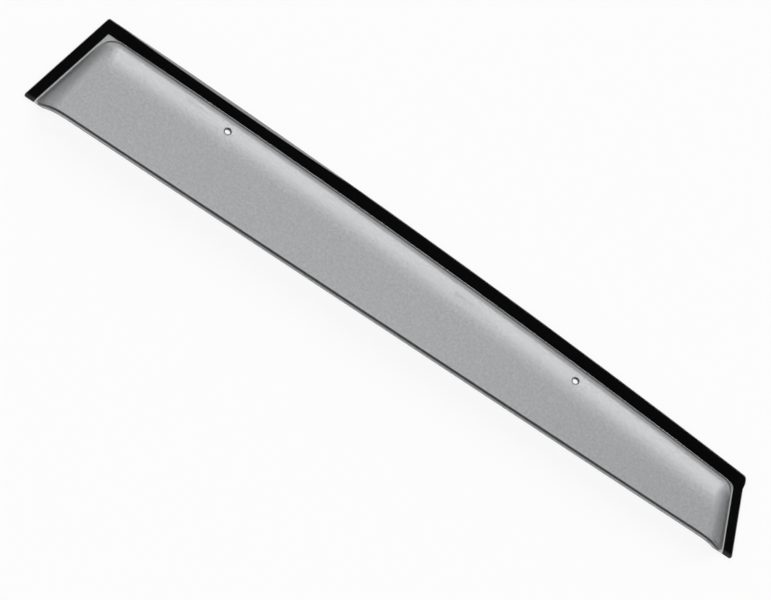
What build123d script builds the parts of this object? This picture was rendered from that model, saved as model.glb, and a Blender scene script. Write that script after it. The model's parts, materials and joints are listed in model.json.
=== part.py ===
from build123d import *
import os
from math import asin, cos, degrees, radians, sin, sqrt, tan

# Sheet, and the lip along the free lower edge
sheet = 2.5                   # thickness of the acrylic
lip_inner_radius = 0.8        # inside of the bend from face to lip
lip_drop = 9.0                # how far the lip hangs below the inside of the face

# Outline of the flange, seen from outside with the top edge up
roof_chord = 726.2            # straight distance between the two top corners
roof_sag = 6.4                # height of the bowed top edge above that chord
wide_end_drop = 107.3         # how far the wide end's lower corner lies below the chord
wide_end_lean = 21.8          # and how far it lies outside the top corner
narrow_end_drop = 72.4        # the same two distances at the narrow end
narrow_end_lean = 34.2
low_bow = 0.7                 # how far the lower edge bows out between its corners
wide_top_corner = 2.5         # plan radius of each corner
narrow_top_corner = 5.0
low_corner = 2.0
ear_out = 1.5                 # ear at the narrow end's top corner, beyond that end's straight edge
ear_length = 7.0              # length of the ear's own side
ear_blend = 6.0               # length over which that side runs back to the straight edge
ear_rounding = 4.0            # softens the two bends of that side

# Flange widths, from the outer edge to the foot of the wall
top_flange = 13.2
wide_end_flange = 12.0
narrow_end_flange = 10.15

# Cross-section of the dome
wall_slope = 42.0             # degrees, top wall at its foot
knuckle_radius = 29.0         # first rounding, from the foot upwards
shoulder_slope = 28.0         # degrees, where the wider rounding takes over
shoulder_radius = 80.0
face_slope = 8.0              # degrees, the face rises towards the lower edge
wide_end_slope = 50.0         # degrees, end walls
narrow_end_slope = 48.0
wide_end_radius = 28.0        # rounding of each end wall into the face and the top wall
narrow_end_radius = 21.0
foot_radius = 1.5             # hollow rounding where the flange turns up

# Countersunk clip holes in the shoulder, measured along the chord from its middle
hole_diameter = 5.5
sink_diameter = 7.9           # at the outer face, with sides at 45 degrees
wide_hole_x = -212.2
narrow_hole_x = 183.8
hole_from_foot = 14.4         # level distance below the foot of the top wall

# Foam tape under the flange
tape_thick = 1.1
tape_edge_gap = 0.2           # set in from the outer edge
top_tape_gap = 0.75           # kept clear of the foot of each wall
wide_tape_gap = 1.5
narrow_tape_gap = 1.35
narrow_tape_corner = 8.0      # inner corner of the tape at the narrow end
stray_from = -352.0           # between these two stations the top tape strays inwards
stray_to = -85.0
stray_depth = 2.4

# Working allowances for solids that are trimmed later
run_out = 40.0
depth = 15.0

half_chord = roof_chord / 2
roof_radius = (half_chord ** 2 + roof_sag ** 2) / (2 * roof_sag)
roof_middle = roof_sag - roof_radius
foot_arc = roof_radius - top_flange
tape_arc = foot_arc + top_tape_gap
lip_outer_radius = lip_inner_radius + sheet
steep = radians(wall_slope)
turn = radians(shoulder_slope)
flat = radians(face_slope)
knuckle_r = foot_arc - knuckle_radius * sin(steep)
knuckle_z = -knuckle_radius * cos(steep)
shoulder_r = knuckle_r + (knuckle_radius - shoulder_radius) * sin(turn)
shoulder_z = knuckle_z + (knuckle_radius - shoulder_radius) * cos(turn)

wide_top = Vector(-half_chord, 0)
narrow_top = Vector(half_chord, 0)
wide_low = Vector(-half_chord - wide_end_lean, -wide_end_drop)
narrow_low = Vector(half_chord + narrow_end_lean, -narrow_end_drop)


def left_of(start, end):
    """Unit vector in plan, square to the line from start to end and on its left."""
    along = (end - start).normalized()
    return Vector(-along.Y, along.X)


wide_inward = left_of(wide_top, wide_low)
narrow_inward = left_of(narrow_low, narrow_top)
low_inward = left_of(wide_low, narrow_low)
low_along = (narrow_low - wide_low).normalized()
low_half = (narrow_low - wide_low).length / 2
low_radius = (low_half ** 2 + low_bow ** 2) / (2 * low_bow)
low_centre = (wide_low + narrow_low) / 2 + low_inward * (low_radius - low_bow)


def on_roof(x, inset):
    """Point in plan on the bowed top edge, moved inwards by inset."""
    return Vector(x, roof_middle + sqrt((roof_radius - inset) ** 2 - x ** 2))


def on_low_edge(distance, inset):
    """Point in plan on the bowed lower edge, at a distance from its middle."""
    angle = distance / low_radius
    return low_centre + (low_along * sin(angle) - low_inward * cos(angle)) * (low_radius - inset)


def end_plane(corner, inward, flange, slope, inset):
    """Plane of an end wall, with its normal pointing out of the material."""
    out = Vector(0, 0, cos(radians(slope))) - inward * sin(radians(slope))
    return Plane(origin=corner + inward * flange - out * inset, z_dir=out)


def face_on(block, plane):
    """The face that a cut along the plane has left on the block."""
    return block.faces().sort_by(lambda face: abs(plane.to_local_coords(face.center()).Z))[0]


def bend(centre_r, centre_z, radius, angles):
    """Points of a rounding in the cross-section, at angles from upright."""
    return [(centre_r + radius * sin(angle), centre_z + radius * cos(angle)) for angle in angles]


def dome(inset):
    """Block under the raised part, moved inwards by inset on every side."""
    knuckle = bend(knuckle_r, knuckle_z, knuckle_radius - inset, (steep, (steep + turn) / 2, turn))
    shoulder = bend(shoulder_r, shoulder_z, shoulder_radius - inset, (turn, (turn + flat) / 2, flat))
    reach = wide_end_drop + roof_sag + run_out
    wall_end = (knuckle[0][0] + (knuckle[0][1] + depth) / tan(steep), -depth)
    face_end = (shoulder[2][0] - reach, shoulder[2][1] + reach * tan(flat))
    face_low = (face_end[0], -depth)
    section = Plane.YZ * make_face(
        [
            Line(wall_end, knuckle[0]),
            ThreePointArc(*knuckle),
            ThreePointArc(*shoulder),
            Line(shoulder[2], face_end),
            Line(face_end, face_low),
            Line(face_low, wall_end),
        ]
    )
    swing = degrees(asin((half_chord + 3 * run_out) / foot_arc))
    block = Pos(0, roof_middle, 0) * Rot(0, 0, swing) * revolve(section, Axis.Z, -2 * swing)
    for corner, inward, flange, slope, rounding in (
        (wide_top, wide_inward, wide_end_flange, wide_end_slope, wide_end_radius),
        (narrow_top, narrow_inward, narrow_end_flange, narrow_end_slope, narrow_end_radius),
    ):
        plane = end_plane(corner, inward, flange, slope, inset)
        block = split(block, plane, keep=Keep.BOTTOM)
        rim = [
            edge for edge in face_on(block, plane).edges()
            if edge.center().Z > 1 - depth and edge.center().Y > -wide_end_drop - run_out
        ]
        block = fillet(rim, rounding - inset)
    return block


def formed_body(inset):
    """Flange block and dome in one, with the hollow foot rounding between them."""
    bed_x = half_chord + 4 * run_out
    bed_low = -wide_end_drop - run_out
    bed_high = roof_sag + run_out
    bed = Pos(0, (bed_low + bed_high) / 2, -depth) * Box(
        2 * bed_x,
        bed_high - bed_low,
        depth - inset,
        align=(Align.CENTER, Align.CENTER, Align.MIN),
    )
    block = bed + dome(inset)
    level = block.faces().filter_by_position(Axis.Z, -inset - 0.01, -inset + 0.01)
    foot = [
        edge for edge in level.edges()
        if abs(edge.center().X) < bed_x - 1 and bed_low + 1 < edge.center().Y < bed_high - 1
    ]
    return fillet(foot, foot_radius + inset)


def trimmed_body(inset):
    """The formed body cut off along the lower edge, with that edge rounded over."""
    reach = low_half + 5 * run_out
    start = on_low_edge(-reach, inset)
    stop = on_low_edge(reach, inset)
    far = low_inward * (wide_end_drop + 4 * run_out)
    kept = make_face(
        [
            ThreePointArc(start, on_low_edge(0, inset), stop),
            Line(stop, stop + far),
            Line(stop + far, start + far),
            Line(start + far, start),
        ]
    )
    body = formed_body(inset) & Pos(0, 0, -2 * depth) * extrude(kept, 4 * depth + wide_end_drop)

    def on_cut(point):
        return abs((Vector(point.X, point.Y) - low_centre).length - low_radius + inset) < 0.01

    rim = [
        edge for edge in body.edges()
        if edge.center().Z > -inset - 0.01 and all(on_cut(edge @ place) for place in (0, 0.5, 1))
    ]
    return fillet(rim, lip_outer_radius - inset)


def clip_hole(x):
    """Drill and countersink for a clip hole, square to the shoulder."""
    r = foot_arc - hole_from_foot
    lean = asin((r - shoulder_r) / shoulder_radius)
    across = Vector(x, sqrt(r ** 2 - x ** 2)) / r
    out = across * sin(lean) + Vector(0, 0, cos(lean))
    middle = Vector(0, roof_middle) + across * r
    on_face = middle + Vector(0, 0, shoulder_z + shoulder_radius * cos(lean))
    sink = (sink_diameter - hole_diameter) / 2
    drill = Cylinder(hole_diameter / 2, 4 * sheet) + Pos(0, 0, -sink) * Cone(
        hole_diameter / 2,
        hole_diameter / 2 + 2 * sink,
        2 * sink,
        align=(Align.CENTER, Align.CENTER, Align.MIN),
    )
    return Plane(origin=on_face, z_dir=out) * drill


def end_line(corner, low, inward, width):
    """Line in plan along one end, this width inside its outer edge and run out at both ends."""
    along = (low - corner).normalized() * run_out
    return corner + inward * width - along, low + inward * width + along


# Outline in plan, with its corners rounded
narrow_down = (narrow_low - narrow_top).normalized()
ear_tip = on_roof(half_chord + ear_out / abs(narrow_inward.X), 0)
ear_low = ear_tip + narrow_down * ear_length
ear_end = narrow_top + narrow_down * (ear_length + ear_blend)
outline = make_face(
    [
        Line(wide_low, wide_top),
        ThreePointArc(wide_top, (0, roof_sag), ear_tip),
        Line(ear_tip, ear_low),
        Line(ear_low, ear_end),
        Line(ear_end, narrow_low),
        ThreePointArc(narrow_low, on_low_edge(0, 0), wide_low),
    ]
)
for corner, rounding in (
    (wide_top, wide_top_corner),
    (ear_tip, narrow_top_corner),
    (ear_low, ear_rounding),
    (ear_end, ear_rounding),
    (wide_low, low_corner),
    (narrow_low, low_corner),
):
    outline = fillet(outline.vertices().sort_by_distance(corner)[0], rounding)

# Shell: the outer body less its own copy moved in by one sheet, opened below the lip
skin = trimmed_body(0) - trimmed_body(sheet)
blank = skin & Pos(0, 0, -sheet) * extrude(outline, depth + wide_end_drop)
opening = Pos(0, 0, -lip_drop) * formed_body(sheet)
shell = blank - opening - clip_hole(wide_hole_x) - clip_hole(narrow_hole_x)

# Tape strips: the top one runs through, the end ones butt against it
tape_field = outline - trace(outline.edges(), 2 * tape_edge_gap)
below_roof = Pos(0, roof_middle) * Circle(tape_arc)
wide_line = end_line(wide_top, wide_low, wide_inward, wide_end_flange - wide_tape_gap)
narrow_line = end_line(narrow_top, narrow_low, narrow_inward, narrow_end_flange - narrow_tape_gap)
window = below_roof & make_face(Polyline(*wide_line, *reversed(narrow_line), close=True))
window = fillet(window.vertices().sort_by_distance(narrow_top)[0], narrow_tape_corner)
stray_start = on_roof(stray_from, 0)
stray_stop = on_roof(stray_to, 0)
stray = make_face(
    [
        ThreePointArc(stray_start, on_roof((stray_from + stray_to) / 2, stray_depth), stray_stop),
        Line(stray_stop, stray_stop + Vector(0, run_out)),
        Line(stray_stop + Vector(0, run_out), stray_start + Vector(0, run_out)),
        Line(stray_start + Vector(0, run_out), stray_start),
    ]
)
ends = ((tape_field & below_roof) - window).faces().sort_by(Axis.X)
strips = {
    "top_tape": tape_field - below_roof - stray,
    "wide_end_tape": ends[0],
    "narrow_end_tape": ends[-1],
}

# The origin lies on the bonding face, in the middle of the top tape
tape_middle = roof_sag - (tape_edge_gap + top_flange - top_tape_gap) / 2
place = Pos(0, -tape_middle, sheet + tape_thick)
pieces = {"shell": place * shell}
for name, strip in strips.items():
    pieces[name] = place * Pos(0, 0, -sheet - tape_thick) * extrude(strip, tape_thick, dir=(0, 0, 1))

os.makedirs("parts", exist_ok=True)
for name, piece in pieces.items():
    piece.label = name
    export_step(piece, f"parts/{name}.step")
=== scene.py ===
import json
import math

import bpy
from mathutils import Matrix, Vector

# Camera, as the photograph was taken
TILT = math.radians(14.5)        # the camera leans this far towards the lower edge
ROLL = math.radians(35.74)       # the part's length runs down to the right
LENS = 400.0                     # mm: the photograph shows next to no perspective
SENSOR = 36.0                    # mm across
VIEW_WIDTH = 0.7132              # metres across the picture, at the flange
TARGET = Vector((-0.00265, -0.0646, 0.0036))
CLIP_END = 100.0

# Sheet of the shell, metres
SHEET = 0.0025                   # thickness
FLANGE_TOP = 0.0036              # height of the flange's outer face
SINK_EDGE = 0.0037               # radius of a clip hole's countersink at the outer face
SINK_CLEAR = 0.0029              # radius inside which the countersink looks clear

# Zones of the sheet, each from where its share begins to where it is full: metres, or parts of a normal
RAISED = (FLANGE_TOP + 0.00005, FLANGE_TOP + 0.0004)            # height
ABOVE_TOP_FOOT = (FLANGE_TOP + 0.0003, FLANGE_TOP + 0.0024)     # height
UP_END_WALL = (FLANGE_TOP, FLANGE_TOP + 0.016)                  # height
ALONG_TOP = (-0.026, -0.018)                                    # Y
OUTER_RIM = (-0.005, -0.002)                                    # Y
BELOW_SHOULDER = (-0.030, -0.055)                               # Y
FROM_WIDE_END = (-0.352, -0.338)                                # X
FROM_NARROW_END = (0.364, 0.352)                                # X
TO_NARROW_END = (0.0, 0.38)                                     # X
STEEP_END = (0.02, 0.9)                                         # X of the normal, either way
OVER_LIP = (-0.40, -0.70)                                       # Y of the outward normal
ON_LIP_SIDE = (-0.90, -0.98)                                    # Y of the outward normal

# Tints of the sheet: clear at the ends of the flange, with painted shade along the top flange, on the
# lower face towards the narrow end, on the end walls, at the foot of the top wall, over the lip and in the
# countersinks
END_FLANGE_TINT = (0.98, 0.98, 0.98, 1)
# Painted shade along the top flange, lighter at its rim, on the same clear sheet as at the ends
TOP_FLANGE_PAINTED_SHADE = (0.34, 0.341, 0.343, 1)
RIM_PAINTED_SHADE = (0.62, 0.621, 0.624, 1)
FACE_TINT = (0.898, 0.906, 0.922, 1)
# Painted shade on the lower face towards the narrow end; the shoulder above is left out
NARROW_FACE_PAINTED_SHADE = (0.810, 0.825, 0.842, 1)
# Painted shade on the end walls, deepest at their foot
END_FOOT_PAINTED_SHADE = (0.23, 0.231, 0.234, 1)
NARROW_END_FOOT_PAINTED_SHADE = (0.17, 0.171, 0.174, 1)
# Painted shade: a dark line along the foot of the top wall
TOP_FOOT_PAINTED_SHADE = (0.06, 0.06, 0.061, 1)
# Painted shade over the lip's bend and, lighter, on its side
LIP_BEND_PAINTED_SHADE = (0.03, 0.03, 0.03, 1)
LIP_SIDE_PAINTED_SHADE = (0.11, 0.11, 0.112, 1)
# Painted shade: a dark ring in the countersink of each clip hole
SINK_PAINTED_SHADE = (0.02, 0.02, 0.02, 1)
END_FOOT_SHADE_SHARES = (1.0, 0.35)    # of the end foot's painted shade, at the bottom and the top of the end wall

# Grain, gloss and smoke of the acrylic
GRAIN_SCALE = 420.0
GRAIN_DETAIL = 3.0
GRAIN_SHADES = (0.84, 1.0)
GRAIN_BUMP = 0.012
GRAIN_DEPTH = 0.00002
GLOSS_ROUGHNESS = 0.08           # all over
HAZE_ROUGHNESS = (0.05, 0.08)    # added where the sheet is raised, by the grain
ACRYLIC_IOR = 1.49
SMOKE = (0.50, 0.505, 0.51, 1)
SMOKE_DENSITY = 320.0
SHADOW_TINT = (0.85, 0.85, 0.85, 1)

# Cells of the foam tape
CELL_SCALE = 2600.0
CELL_DETAIL = 2.0
CELL_DARK = (0.003, 0.003, 0.0032, 1)
CELL_LIGHT = (0.008, 0.008, 0.0085, 1)
CELL_ROUGHNESS = (0.75, 0.95)
CELL_BUMP = 0.4
CELL_DEPTH = 0.0002
FOAM_SPECULAR = 0.2

# Middle of a noise's values, which is spread over the range that it drives
NOISE_MIDDLE = (0.3, 0.7)

# Floor of pale paper, which glows by a share of its own for each kind of ray
FLOOR_SIZE = 40.0
PAPER = (0.9, 0.9, 0.9, 1)
GLOWS = {"Is Camera Ray": 0.85, "Is Glossy Ray": 0.5, "Is Transmission Ray": 0.35}

# Studio: even light with a darker patch overhead, a strip beyond the top edge and a screen past each end.
# A screen has a strength and two rows of where it begins, is full, is still full and ends. The first row
# is in degrees from overhead towards the top edge, the second in the size of the direction's X.
ROOM_LIGHT = 0.8
BACKDROP_LIGHT = 1.0
ACROSS_MIDDLE = (-1.0, -0.9)     # below any such size, so the screen is full in the middle
DARK_PATCH = (0.74, (3, 9, 21, 27), (*ACROSS_MIDDLE, 0.10, 0.25))
STRIP = (5.6, (28, 60, 64, 77), (*ACROSS_MIDDLE, 0.05, 0.45))
END_SCREENS = (1.6, (8, 18, 40, 70), (0.30, 0.62, 0.62, 0.97))

# Colour sockets of a Mix node, which share their names with its other sockets
MIX_FIRST = 6
MIX_SECOND = 7
MIX_RESULT = 2

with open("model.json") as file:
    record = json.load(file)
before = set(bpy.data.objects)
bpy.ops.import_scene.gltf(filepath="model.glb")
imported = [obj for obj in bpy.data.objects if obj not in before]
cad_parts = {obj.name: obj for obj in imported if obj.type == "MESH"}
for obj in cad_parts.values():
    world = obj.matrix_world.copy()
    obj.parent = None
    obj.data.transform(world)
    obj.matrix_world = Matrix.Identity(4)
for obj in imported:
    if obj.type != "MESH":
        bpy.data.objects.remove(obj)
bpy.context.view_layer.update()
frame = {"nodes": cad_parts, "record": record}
scene = bpy.context.scene
scene.view_settings.view_transform = "Standard"


class Shader:
    """Node tree of a material or world, with short calls for making and joining nodes."""

    def __init__(self, owner):
        owner.use_nodes = True
        self.nodes = owner.node_tree.nodes
        self.links = owner.node_tree.links
        self.nodes.clear()
        kind = "World" if isinstance(owner, bpy.types.World) else "Material"
        self.out = self.nodes.new("ShaderNodeOutput" + kind)

    def feed(self, socket, value):
        """Link a socket to another node's output, or give it a plain value."""
        if isinstance(value, bpy.types.NodeSocket):
            self.links.new(value, socket)
        else:
            socket.default_value = value

    def node(self, kind, inputs=None, **settings):
        made = self.nodes.new("ShaderNode" + kind)
        for key, value in settings.items():
            setattr(made, key, value)
        for key, value in (inputs or {}).items():
            self.feed(made.inputs[key], value)
        return made

    def math(self, operation, *values):
        return self.node("Math", dict(enumerate(values)), operation=operation).outputs[0]

    def vector(self, operation, *vectors):
        return self.node("VectorMath", dict(enumerate(vectors)), operation=operation).outputs

    def axes(self, vector):
        return self.node("SeparateXYZ", {0: vector}).outputs

    def spread(self, value, zone, shares=(0.0, 1.0)):
        """Smooth step over a zone, from the first share to the second."""
        keys = ("Value", "From Min", "From Max", "To Min", "To Max")
        inputs = dict(zip(keys, (value, *zone, *shares)))
        return self.node("MapRange", inputs, interpolation_type="SMOOTHSTEP").outputs["Result"]

    def noise(self, place, scale, detail):
        return self.node("TexNoise", {"Vector": place, "Scale": scale, "Detail": detail}).outputs["Fac"]

    def blend(self, share, first, second):
        inputs = {"Factor": share, MIX_FIRST: first, MIX_SECOND: second}
        return self.node("Mix", inputs, data_type="RGBA").outputs[MIX_RESULT]

    def shade(self, colour, factor):
        return self.node("VectorMath", {0: colour, "Scale": factor}, operation="SCALE").outputs["Vector"]

    def from_axis(self, place, centre, axis):
        """Distance of a place from an axis through a centre."""
        arm = self.vector("SUBTRACT", place, centre)["Vector"]
        square = self.vector("CROSS_PRODUCT", arm, axis)["Vector"]
        return self.vector("LENGTH", square)["Value"]

    def bump(self, height, strength, distance):
        inputs = {"Height": height, "Strength": strength, "Distance": distance}
        return self.node("Bump", inputs).outputs["Normal"]

    def share_out(self, share, first, second):
        """Surface of the first shader, with a share of the second."""
        mix = self.node("MixShader", {"Fac": share, 1: first, 2: second})
        self.feed(self.out.inputs["Surface"], mix.outputs["Shader"])


def sheet_tint(s, place):
    """Tint of the sheet at each place, with its painted shade, and the share to which the place is raised
    off the flange.
    """
    at = s.axes(place)
    geometry = s.node("NewGeometry").outputs
    normal = s.axes(geometry["Normal"])
    # The normal of a face met from behind comes turned round, and facing turns it back
    facing = s.math("SUBTRACT", 1.0, s.math("MULTIPLY", geometry["Backfacing"], 2.0))
    inner = s.math("LESS_THAN", s.math("MULTIPLY", normal["Z"], facing), 0.0)
    outer = s.math("SUBTRACT", 1.0, inner)
    turned_down = s.math("MULTIPLY", normal["Y"], facing)
    height = s.math("ADD", at["Z"], s.math("MULTIPLY", inner, SHEET))
    raised = s.spread(height, RAISED)
    along_top = s.spread(at["Y"], ALONG_TOP)
    to_narrow_end = s.spread(at["X"], TO_NARROW_END)

    # Flange: clear at the ends; along the top a painted shade, lighter over the outer rim
    top_flange_shade = s.blend(s.spread(at["Y"], OUTER_RIM), TOP_FLANGE_PAINTED_SHADE, RIM_PAINTED_SHADE)
    between_ends = s.math("MULTIPLY", s.spread(at["X"], FROM_WIDE_END), s.spread(at["X"], FROM_NARROW_END))
    flange = s.blend(s.math("MULTIPLY", along_top, between_ends), END_FLANGE_TINT, top_flange_shade)

    # Face and walls: painted shade, darker on the lower face towards the narrow end and on the end walls
    # towards their foot
    to_narrow_face_shade = s.math("MULTIPLY", to_narrow_end, s.spread(at["Y"], BELOW_SHOULDER))
    face = s.blend(to_narrow_face_shade, FACE_TINT, NARROW_FACE_PAINTED_SHADE)
    end_foot_shade = s.blend(to_narrow_end, END_FOOT_PAINTED_SHADE, NARROW_END_FOOT_PAINTED_SHADE)
    # Painted shade that grows as the end wall's normal turns along X, and towards its foot
    steep_end = s.spread(s.math("ABSOLUTE", normal["X"]), STEEP_END)
    to_end_foot = s.math("MULTIPLY", steep_end, s.spread(height, UP_END_WALL, END_FOOT_SHADE_SHARES))
    end_wall = s.blend(to_end_foot, face, end_foot_shade)
    # Painted shade: a dark line along the foot of the top wall
    top_wall = s.blend(s.spread(height, ABOVE_TOP_FOOT), TOP_FOOT_PAINTED_SHADE, face)

    # Lip: painted shade, dark over its bend, less so on its side
    over_lip = s.math("MULTIPLY", s.spread(turned_down, OVER_LIP), outer)
    lip = s.blend(s.spread(turned_down, ON_LIP_SIDE), LIP_BEND_PAINTED_SHADE, LIP_SIDE_PAINTED_SHADE)
    wall = s.blend(over_lip, s.blend(along_top, end_wall, top_wall), lip)
    return s.blend(raised, flange, wall), raised


def sink_shade(s, place, tint):
    """The same tint, with painted shade as a dark ring in the countersink of each clip hole, and the clear
    tint inside the ring.
    """
    for mount in frame["record"]["mounts"]:
        if mount["kind"] == "bore":
            from_axis = s.from_axis(place, mount["pos_m"], mount["axis"])
            tint = s.blend(s.math("LESS_THAN", from_axis, SINK_EDGE), tint, SINK_PAINTED_SHADE)
            tint = s.blend(s.math("LESS_THAN", from_axis, SINK_CLEAR), tint, END_FLANGE_TINT)
    return tint


def tinted_acrylic():
    material = bpy.data.materials.new("tinted_acrylic")
    s = Shader(material)
    place = s.node("TexCoord").outputs["Object"]
    grain = s.noise(place, GRAIN_SCALE, GRAIN_DETAIL)
    tint, raised = sheet_tint(s, place)
    tint = sink_shade(s, place, tint)
    haze = s.math("MULTIPLY", raised, s.spread(grain, NOISE_MIDDLE, HAZE_ROUGHNESS))
    glass = s.node("BsdfPrincipled", {
        "Base Color": s.shade(tint, s.spread(grain, NOISE_MIDDLE, GRAIN_SHADES)),
        "Roughness": s.math("ADD", haze, GLOSS_ROUGHNESS),
        "Normal": s.bump(grain, GRAIN_BUMP, GRAIN_DEPTH),
        "Transmission Weight": 1.0,
        "IOR": ACRYLIC_IOR,
    })
    clear = s.node("BsdfTransparent", {"Color": SHADOW_TINT})
    in_shadow = s.node("LightPath").outputs["Is Shadow Ray"]
    s.share_out(in_shadow, glass.outputs["BSDF"], clear.outputs["BSDF"])
    absorb = s.node("VolumeAbsorption", {"Color": SMOKE, "Density": SMOKE_DENSITY})
    s.feed(s.out.inputs["Volume"], absorb.outputs["Volume"])
    return material


def foam_tape():
    material = bpy.data.materials.new("foam_tape")
    s = Shader(material)
    place = s.node("TexCoord").outputs["Object"]
    cells = s.noise(place, CELL_SCALE, CELL_DETAIL)
    foam = s.node("BsdfPrincipled", {
        "Base Color": s.blend(cells, CELL_DARK, CELL_LIGHT),
        "Roughness": s.spread(cells, NOISE_MIDDLE, CELL_ROUGHNESS),
        "Normal": s.bump(cells, CELL_BUMP, CELL_DEPTH),
        "Specular IOR Level": FOAM_SPECULAR,
    })
    s.feed(s.out.inputs["Surface"], foam.outputs["BSDF"])
    return material


def floor_paper():
    material = bpy.data.materials.new("floor")
    s = Shader(material)
    ray = s.node("LightPath").outputs
    glow = 0.0
    for kind, share in GLOWS.items():
        glow = s.math("MAXIMUM", s.math("MULTIPLY", ray[kind], share), glow)
    paper = s.node("BsdfDiffuse", {"Color": PAPER})
    white = s.node("Emission")
    s.share_out(glow, paper.outputs["BSDF"], white.outputs["Emission"])
    return material


def studio_world():
    world = bpy.data.worlds.new("studio")
    s = Shader(world)
    way = s.axes(s.node("TexCoord").outputs["Generated"])
    lean = s.math("DEGREES", s.math("ARCTAN2", way["Y"], way["Z"]))
    aside = s.math("ABSOLUTE", way["X"])

    def screen(strength, leans, sides):
        light = strength
        for value, (begin, full, still_full, end) in ((lean, leans), (aside, sides)):
            light = s.math("MULTIPLY", s.spread(value, (begin, full)), light)
            light = s.math("MULTIPLY", s.spread(value, (end, still_full)), light)
        return light

    light = s.math("SUBTRACT", ROOM_LIGHT, screen(*DARK_PATCH))
    light = s.math("ADD", light, screen(*STRIP))
    light = s.math("ADD", light, screen(*END_SCREENS))
    seen = s.node("LightPath").outputs["Is Camera Ray"]
    level = s.node("Mix", {"Factor": seen, "A": light, "B": BACKDROP_LIGHT}, data_type="FLOAT")
    background = s.node("Background", {"Strength": level.outputs["Result"]})
    s.feed(s.out.inputs["Surface"], background.outputs["Background"])
    return world


# Materials of the pieces
acrylic = tinted_acrylic()
tape = foam_tape()
for name, node in frame["nodes"].items():
    node.data.materials.clear()
    node.data.materials.append(acrylic if name == "shell" else tape)

# Floor and light
bpy.ops.mesh.primitive_plane_add(size=FLOOR_SIZE)
floor = bpy.context.object
floor.name = "floor"
floor.data.materials.append(floor_paper())
scene.world = studio_world()

# Camera
camera = bpy.data.objects.new("camera", bpy.data.cameras.new("camera"))
scene.collection.objects.link(camera)
scene.camera = camera
camera.data.lens = LENS
camera.data.sensor_width = SENSOR
camera.data.clip_end = CLIP_END
towards = Vector((0, -math.sin(TILT), math.cos(TILT)))
level_up = Vector((0, math.cos(TILT), math.sin(TILT)))
along = Vector((1, 0, 0))
right = along * math.cos(ROLL) + level_up * math.sin(ROLL)
up = level_up * math.cos(ROLL) - along * math.sin(ROLL)
distance = VIEW_WIDTH * LENS / SENSOR
turned = Matrix((right, up, towards)).transposed().to_4x4()
camera.matrix_world = Matrix.Translation(TARGET + towards * distance) @ turned

bpy.context.view_layer.update()
